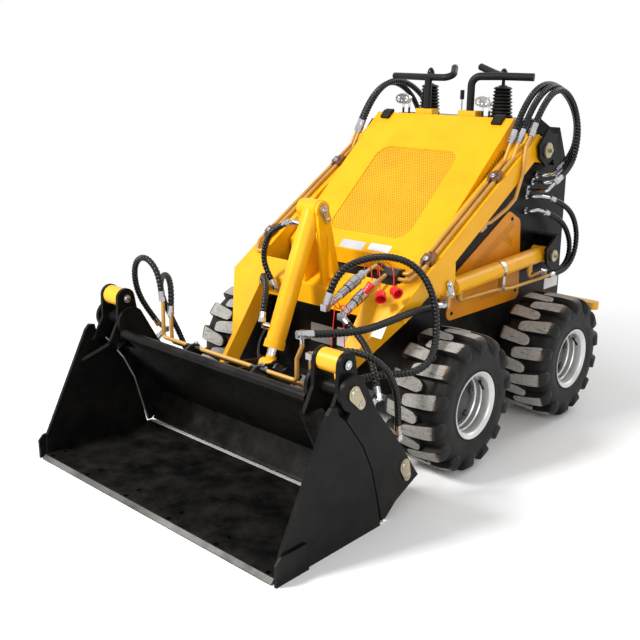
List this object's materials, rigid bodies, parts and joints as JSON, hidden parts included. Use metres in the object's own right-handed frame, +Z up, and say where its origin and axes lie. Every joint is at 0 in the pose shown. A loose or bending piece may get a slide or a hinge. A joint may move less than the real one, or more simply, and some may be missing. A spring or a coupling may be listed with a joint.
{
  "type": "compact stand-on skid steer loader with a four-in-one bucket",
  "caption": "Compact stand-on skid steer loader: yellow sloping hood, loader arms over lugged tyres, hydraulic cylinders and a black multi-purpose bucket with an opening front jaw.",
  "frame": {"origin": "on the ground, under the middle of the machine's length and width, wheels and bucket down", "axes": "+Z up, -Y the machine's front with the bucket, +X the machine's left side"},
  "size_m": [1.12, 1.901, 1.2826],
  "materials": {
    "tyre": "matte",
    "rim_silver": "satin",
    "yellow_paint": "gloss",
    "orange_paint": "gloss",
    "black_paint": "satin",
    "cast_engine": "matte",
    "black_rubber": "matte",
    "lamp_chrome": "polished",
    "pipe_steel": "satin",
    "coupler_steel": "satin",
    "rod_chrome": "polished",
    "edge_steel": "matte",
    "hose_rubber": "satin",
    "pin_zinc": "satin"
  },
  "bodies": {
    "chassis": {"chassis_frame": "black_paint", "tower_left": "black_paint", "tower_right": "black_paint", "hood": "yellow_paint", "hood_grilles": "black_paint", "side_covers": "orange_paint", "console_deck": "black_paint", "engine_block": "cast_engine", "handlebars": "black_paint", "joystick_bellows": "black_rubber", "work_lamps": "lamp_chrome", "hood_latches": "black_rubber", "rear_guard": "yellow_paint", "axle_hubs": "black_paint", "panel_fittings": "pipe_steel", "tower_hose_left_inner": "hose_rubber", "tower_hose_left_middle": "hose_rubber", "tower_hose_left_outer": "hose_rubber", "tower_hose_right_inner": "hose_rubber", "tower_hose_right_middle": "hose_rubber", "lift_hose_left_upper": "hose_rubber", "lift_hose_left_lower": "hose_rubber"},
    "wheel_front_left": {"tyre_front_left": "tyre", "rim_front_left": "rim_silver"},
    "wheel_front_right": {"tyre_front_right": "tyre", "rim_front_right": "rim_silver"},
    "wheel_rear_left": {"tyre_rear_left": "tyre", "rim_rear_left": "rim_silver"},
    "wheel_rear_right": {"tyre_rear_right": "tyre", "rim_rear_right": "rim_silver"},
    "lift_arms": {"lift_arm_left": "yellow_paint", "lift_arm_right": "yellow_paint", "cross_member": "yellow_paint", "arm_pipes": "pipe_steel", "quick_couplers": "coupler_steel", "tilt_hose_upper": "hose_rubber", "tilt_hose_lower": "hose_rubber", "coupler_hose_over": "hose_rubber", "bucket_supply_hose": "hose_rubber", "jaw_hose_left_upper": "hose_rubber"},
    "lift_barrel_l": {"lift_barrel_left": "yellow_paint"},
    "lift_rod_l": {"lift_rod_left": "rod_chrome"},
    "lift_barrel_r": {"lift_barrel_right": "yellow_paint"},
    "lift_rod_r": {"lift_rod_right": "rod_chrome"},
    "tilt_barrel": {"tilt_barrel": "yellow_paint"},
    "tilt_rod": {"tilt_rod": "rod_chrome"},
    "bucket_back": {"bucket_blade": "black_paint", "bucket_pins": "pin_zinc", "bucket_pipes": "pipe_steel", "jaw_hose_left_lower": "hose_rubber", "jaw_hose_right_upper": "hose_rubber", "jaw_hose_right_lower": "hose_rubber"},
    "bucket_jaw": {"jaw_shell": "black_paint", "cutting_edge": "edge_steel", "jaw_ears": "black_paint"},
    "jaw_barrel_l": {"jaw_barrel_left": "yellow_paint"},
    "jaw_rod_l": {"jaw_rod_left": "rod_chrome"},
    "jaw_barrel_r": {"jaw_barrel_right": "yellow_paint"},
    "jaw_rod_r": {"jaw_rod_right": "rod_chrome"}
  },
  "joints": [
    {"name": "wheel_front_left_roll", "type": "hinge", "parent": "chassis", "child": "wheel_front_left", "pos_m": [0.446, -0.0355, 0.2285], "axis": [1, 0, 0], "continuous": true},
    {"name": "wheel_front_right_roll", "type": "hinge", "parent": "chassis", "child": "wheel_front_right", "pos_m": [-0.446, -0.0355, 0.2285], "axis": [1, 0, 0], "continuous": true},
    {"name": "wheel_rear_left_roll", "type": "hinge", "parent": "chassis", "child": "wheel_rear_left", "pos_m": [0.446, 0.6165, 0.2285], "axis": [1, 0, 0], "continuous": true},
    {"name": "wheel_rear_right_roll", "type": "hinge", "parent": "chassis", "child": "wheel_rear_right", "pos_m": [-0.446, 0.6165, 0.2285], "axis": [1, 0, 0], "continuous": true},
    {"name": "lift", "type": "hinge", "parent": "chassis", "child": "lift_arms", "pos_m": [0, 0.5755, 0.987], "axis": [-1, 0, 0], "range_deg": [0, 75], "deforming": ["tower_hose_left_inner", "tower_hose_left_middle", "tower_hose_left_outer", "tower_hose_right_inner", "tower_hose_right_middle"]},
    {"name": "tilt", "type": "hinge", "parent": "lift_arms", "child": "bucket_back", "pos_m": [0, -0.4315, 0.195], "axis": [1, 0, 0], "range_deg": [-13, 85], "deforming": ["coupler_hose_over", "bucket_supply_hose", "jaw_hose_left_upper"]},
    {"name": "jaw", "type": "hinge", "parent": "bucket_back", "child": "bucket_jaw", "pos_m": [0, -0.6535, 0.441], "axis": [-1, 0, 0], "range_deg": [0, 60]},
    {"name": "lift_barrel_swing_l", "type": "hinge", "parent": "chassis", "child": "lift_barrel_l", "pos_m": [0.349, 0.6855, 0.588], "axis": [1, 0, 0], "range_deg": [-53.49, 0.01], "deforming": ["lift_hose_left_upper", "lift_hose_left_lower"]},
    {"name": "lift_rod_slide_l", "type": "slide", "parent": "lift_barrel_l", "child": "lift_rod_l", "axis": [0, -0.9991, -0.0421], "range_m": [-0.00005, 0.39446]},
    {"name": "lift_barrel_swing_r", "type": "hinge", "parent": "chassis", "child": "lift_barrel_r", "pos_m": [-0.349, 0.6855, 0.588], "axis": [1, 0, 0], "range_deg": [-53.49, 0.01]},
    {"name": "lift_rod_slide_r", "type": "slide", "parent": "lift_barrel_r", "child": "lift_rod_r", "axis": [0, -0.9991, -0.0421], "range_m": [-0.00005, 0.39446]},
    {"name": "tilt_barrel_swing", "type": "hinge", "parent": "lift_arms", "child": "tilt_barrel", "pos_m": [0, -0.2195, 0.82], "axis": [1, 0, 0], "range_deg": [-6.65, 1.02], "deforming": ["tilt_hose_upper", "tilt_hose_lower"]},
    {"name": "tilt_rod_slide", "type": "slide", "parent": "tilt_barrel", "child": "tilt_rod", "axis": [0, -0.3871, -0.922], "range_m": [-0.02511, 0.16391]},
    {"name": "jaw_barrel_swing_l", "type": "hinge", "parent": "bucket_back", "child": "jaw_barrel_l", "pos_m": [0.485, -0.4175, 0.153], "axis": [1, 0, 0], "range_deg": [-6, 0.01], "deforming": ["jaw_hose_left_lower"]},
    {"name": "jaw_rod_slide_l", "type": "slide", "parent": "jaw_barrel_l", "child": "jaw_rod_l", "axis": [0, -0.551, 0.8345], "range_m": [-0.06465, 0.00005]},
    {"name": "jaw_barrel_swing_r", "type": "hinge", "parent": "bucket_back", "child": "jaw_barrel_r", "pos_m": [-0.485, -0.4175, 0.153], "axis": [1, 0, 0], "range_deg": [-6, 0.01], "deforming": ["jaw_hose_right_upper", "jaw_hose_right_lower"]},
    {"name": "jaw_rod_slide_r", "type": "slide", "parent": "jaw_barrel_r", "child": "jaw_rod_r", "axis": [0, -0.551, 0.8345], "range_m": [-0.06465, 0.00005]}
  ],
  "couplings": [
    {"joint": "lift_barrel_swing_l", "follows": "lift", "ratio": -0.71306},
    {"joint": "lift_rod_slide_l", "follows": "lift", "m_per_rad": 0.30131},
    {"joint": "lift_barrel_swing_r", "follows": "lift", "ratio": -0.71306},
    {"joint": "lift_rod_slide_r", "follows": "lift", "m_per_rad": 0.30131},
    {"joint": "tilt_barrel_swing", "follows": "tilt", "ratio": -0.07808},
    {"joint": "tilt_rod_slide", "follows": "tilt", "m_per_rad": 0.11045},
    {"joint": "jaw_barrel_swing_l", "follows": "jaw", "ratio": -0.09985},
    {"joint": "jaw_rod_slide_l", "follows": "jaw", "m_per_rad": -0.061688},
    {"joint": "jaw_barrel_swing_r", "follows": "jaw", "ratio": -0.09985},
    {"joint": "jaw_rod_slide_r", "follows": "jaw", "m_per_rad": -0.061688}
  ]
}
